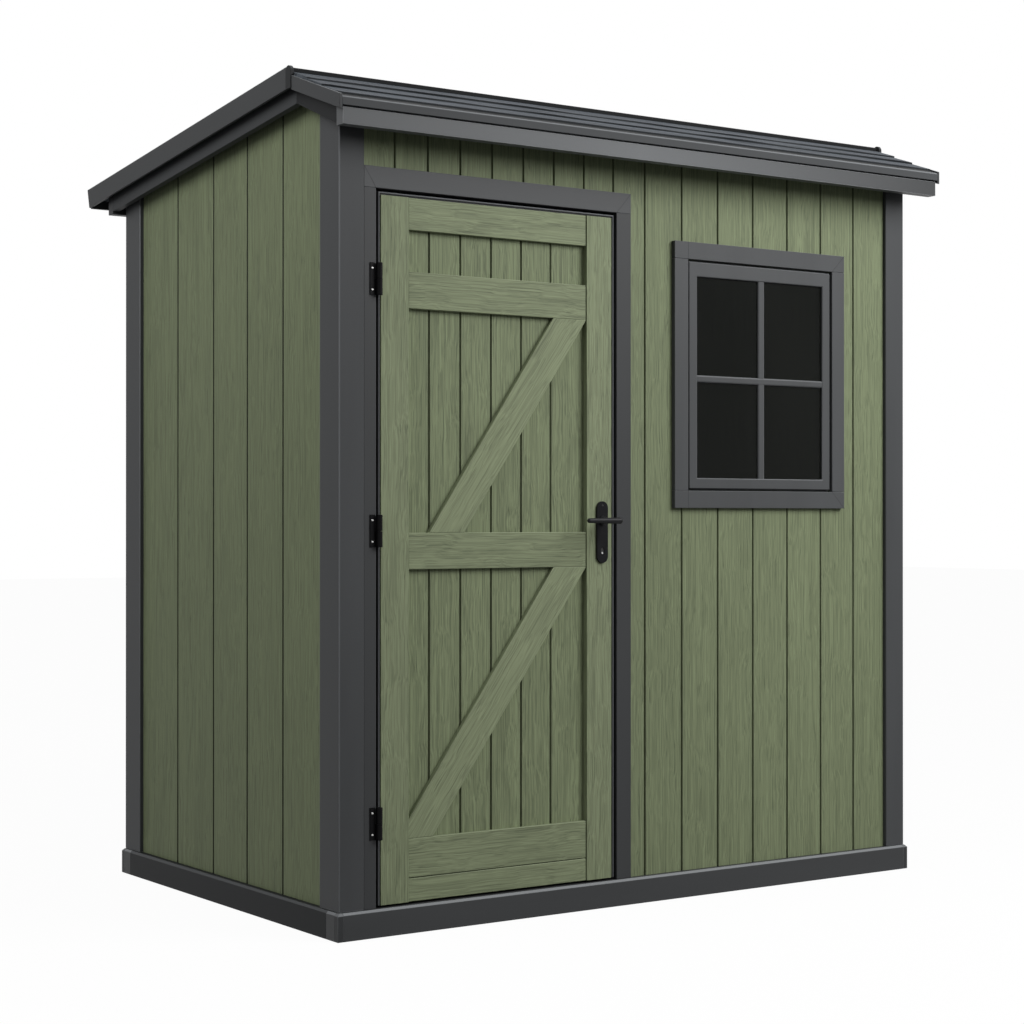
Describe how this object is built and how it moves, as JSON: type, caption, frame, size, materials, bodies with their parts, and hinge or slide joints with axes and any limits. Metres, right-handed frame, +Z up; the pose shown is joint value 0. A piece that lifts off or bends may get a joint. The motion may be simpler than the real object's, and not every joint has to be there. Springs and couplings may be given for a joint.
{
  "type": "resin garden shed",
  "caption": "Resin garden shed with plank-look walls, a braced hinged door with a lever handle, a fixed window and an uneven gabled roof on a low plinth.",
  "frame": {"origin": "on the ground under the middle of the base", "axes": "+X to the right along the front, +Y to the back, +Z up; the front with the door faces -Y"},
  "size_m": [2.098, 1.542, 2.2323],
  "materials": {
    "green_resin": "olive green, moulded wood grain",
    "grey_resin": "dark grey, satin",
    "roof_resin": "slate grey, moulded courses",
    "floor_resin": "dark grey, matt",
    "edge_trim": "dark, matt",
    "window_glass": "clear, dark behind",
    "black_metal": "black, satin",
    "bright_metal": "bare, bright"
  },
  "bodies": {
    "shed": {"floor_panel": "floor_resin", "front_plinth": "grey_resin", "back_plinth": "grey_resin", "left_plinth": "grey_resin", "right_plinth": "grey_resin", "plinth_corner_caps": "grey_resin", "front_left_post": "grey_resin", "front_right_post": "grey_resin", "back_left_post": "grey_resin", "back_right_post": "grey_resin", "left_wall": "green_resin", "right_wall": "green_resin", "back_wall": "green_resin", "front_wall": "green_resin", "front_wall_over_door": "green_resin", "hinge_jamb": "grey_resin", "latch_jamb": "grey_resin", "door_header": "grey_resin", "window_casing": "grey_resin", "window_sash": "grey_resin", "window_glass": "window_glass", "front_roof_panel": "roof_resin", "rear_roof_panel": "roof_resin", "ridge_cap": "grey_resin", "ridge_end_caps": "grey_resin", "front_rake_boards": "grey_resin", "rear_rake_boards": "grey_resin", "front_eave_strip": "grey_resin", "rear_eave_strip": "grey_resin", "front_fascia": "grey_resin", "rear_fascia": "grey_resin", "left_inner_rakes": "grey_resin", "right_inner_rakes": "grey_resin", "hinge_frame_leaves": "black_metal"},
    "door": {"door_panel": "green_resin", "door_stiles": "green_resin", "door_rails": "green_resin", "door_kick_board": "green_resin", "door_braces": "green_resin", "door_edge_trim": "edge_trim", "hinge_door_leaves": "black_metal", "handle_plate": "black_metal", "lock_cylinder": "bright_metal"},
    "lever": {"lever_handle": "black_metal"}
  },
  "joints": [
    {"name": "door_hinge", "type": "hinge", "parent": "shed", "child": "door", "pos_m": [-0.877, -0.648, 1], "axis": [0, 0, -1], "range_deg": [0, 120]},
    {"name": "lever_turn", "type": "hinge", "parent": "door", "child": "lever", "pos_m": [-0.1599, -0.65, 1.0615], "axis": [0, -1, 0], "range_deg": [0, 40], "stiffness_Nm_per_rad": 1.2, "springref_deg": -22.92}
  ]
}
